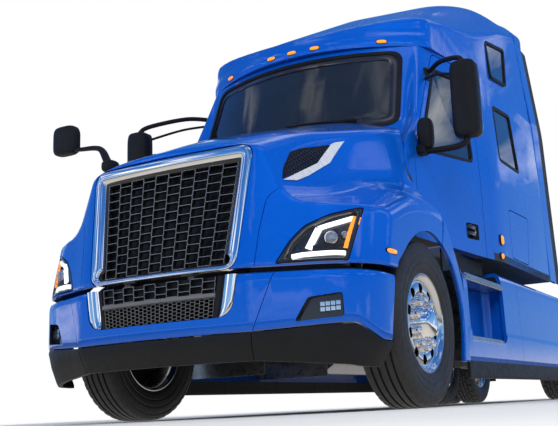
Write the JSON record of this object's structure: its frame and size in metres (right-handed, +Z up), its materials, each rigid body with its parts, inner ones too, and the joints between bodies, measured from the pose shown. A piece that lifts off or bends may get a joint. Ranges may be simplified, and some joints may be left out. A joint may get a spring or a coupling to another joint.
{
  "type": "semi truck tractor unit",
  "caption": "Long-nose sleeper tractor unit with a tilting hood, swinging doors and luggage hatches, steered front wheels, twin-tyred drive axles and a rocking coupler plate.",
  "frame": {"origin": "on the road, under the centre of the overall length and width", "axes": "+Z up; the truck faces -Y; +X is its left, the driver's side"},
  "size_m": [2.96, 8.46, 4.0176],
  "materials": {
    "blue_paint": "gloss",
    "black_paint": "satin",
    "chrome": "polished",
    "black_plastic": "matte",
    "grille_black": "satin",
    "lamp_lens": "gloss",
    "amber_lens": "gloss",
    "dark_glass": "gloss",
    "tyre_rubber": "matte",
    "bright_aluminium": "polished",
    "cast_grey": "matte",
    "trim_grey": "matte",
    "seat_cloth": "woven"
  },
  "bodies": {
    "chassis": {"frame": "black_paint", "axles": "cast_grey", "powertrain": "cast_grey", "bumper": "blue_paint", "black_trims": "black_plastic", "tanks_and_steps": "bright_aluminium", "side_fairings": "blue_paint", "cab_floor": "blue_paint", "cab_front": "blue_paint", "cab_back": "blue_paint", "cab_sides": "blue_paint", "cab_roof": "blue_paint", "glass": "dark_glass", "cab_fittings": "trim_grey", "seats": "seat_cloth", "lamps": "amber_lens", "fifth_wheel_base": "black_paint"},
    "hood": {"hood": "blue_paint", "grille_surround": "chrome", "grille": "grille_black", "headlamps": "lamp_lens", "hood_mirror": "black_plastic"},
    "coupler": {"fifth_wheel_plate": "cast_grey"},
    "door_left": {"door_left": "blue_paint", "door_glass_left": "dark_glass", "mirror_left": "black_plastic"},
    "luggage_door_left": {"luggage_door_left": "blue_paint"},
    "knuckle_left": {"knuckle_left": "cast_grey"},
    "front_wheel_left": {"steer_tyre_left": "tyre_rubber", "steer_wheel_left": "bright_aluminium"},
    "first_drive_wheel_left": {"drive_tyre_first_left": "tyre_rubber", "drive_wheel_first_left": "bright_aluminium"},
    "second_drive_wheel_left": {"drive_tyre_second_left": "tyre_rubber", "drive_wheel_second_left": "bright_aluminium"},
    "door_right": {"door_right": "blue_paint", "door_glass_right": "dark_glass", "mirror_right": "black_plastic"},
    "luggage_door_right": {"luggage_door_right": "blue_paint"},
    "knuckle_right": {"knuckle_right": "cast_grey"},
    "front_wheel_right": {"steer_tyre_right": "tyre_rubber", "steer_wheel_right": "bright_aluminium"},
    "first_drive_wheel_right": {"drive_tyre_first_right": "tyre_rubber", "drive_wheel_first_right": "bright_aluminium"},
    "second_drive_wheel_right": {"drive_tyre_second_right": "tyre_rubber", "drive_wheel_second_right": "bright_aluminium"}
  },
  "joints": [
    {"name": "hood_tilt", "type": "hinge", "parent": "chassis", "child": "hood", "pos_m": [0, -4.185, 0.78], "axis": [1, 0, 0], "range_deg": [0, 60]},
    {"name": "door_left_swing", "type": "hinge", "parent": "chassis", "child": "door_left", "pos_m": [1.02277, -2.73702, 1.6], "axis": [0, 0, -1], "range_deg": [0, 70]},
    {"name": "luggage_door_left_swing", "type": "hinge", "parent": "chassis", "child": "luggage_door_left", "pos_m": [1.17934, -1.032, 1.38], "axis": [0, 0, -1], "range_deg": [0, 90]},
    {"name": "steer_left", "type": "hinge", "parent": "chassis", "child": "knuckle_left", "pos_m": [0.94, -3.08, 0.505], "axis": [0, 0, 1], "range_deg": [-35, 35]},
    {"name": "front_wheel_left_spin", "type": "hinge", "parent": "knuckle_left", "child": "front_wheel_left", "pos_m": [1.035, -3.08, 0.505], "axis": [1, 0, 0], "continuous": true},
    {"name": "first_drive_wheel_left_spin", "type": "hinge", "parent": "chassis", "child": "first_drive_wheel_left", "pos_m": [0.915, 2.17, 0.505], "axis": [1, 0, 0], "continuous": true},
    {"name": "second_drive_wheel_left_spin", "type": "hinge", "parent": "chassis", "child": "second_drive_wheel_left", "pos_m": [0.915, 3.49, 0.505], "axis": [1, 0, 0], "continuous": true},
    {"name": "door_right_swing", "type": "hinge", "parent": "chassis", "child": "door_right", "pos_m": [-1.02277, -2.73702, 1.6], "axis": [0, 0, 1], "range_deg": [0, 70]},
    {"name": "luggage_door_right_swing", "type": "hinge", "parent": "chassis", "child": "luggage_door_right", "pos_m": [-1.17934, -1.032, 1.38], "axis": [0, 0, 1], "range_deg": [0, 90]},
    {"name": "steer_right", "type": "hinge", "parent": "chassis", "child": "knuckle_right", "pos_m": [-0.94, -3.08, 0.505], "axis": [0, 0, 1], "range_deg": [-35, 35]},
    {"name": "front_wheel_right_spin", "type": "hinge", "parent": "knuckle_right", "child": "front_wheel_right", "pos_m": [-1.035, -3.08, 0.505], "axis": [1, 0, 0], "continuous": true},
    {"name": "first_drive_wheel_right_spin", "type": "hinge", "parent": "chassis", "child": "first_drive_wheel_right", "pos_m": [-0.915, 2.17, 0.505], "axis": [1, 0, 0], "continuous": true},
    {"name": "second_drive_wheel_right_spin", "type": "hinge", "parent": "chassis", "child": "second_drive_wheel_right", "pos_m": [-0.915, 3.49, 0.505], "axis": [1, 0, 0], "continuous": true},
    {"name": "coupler_rock", "type": "hinge", "parent": "chassis", "child": "coupler", "pos_m": [0, 2.698, 1.095], "axis": [1, 0, 0], "range_deg": [-12, 12]}
  ],
  "couplings": [
    {"joint": "steer_right", "follows": "steer_left", "ratio": 1}
  ]
}
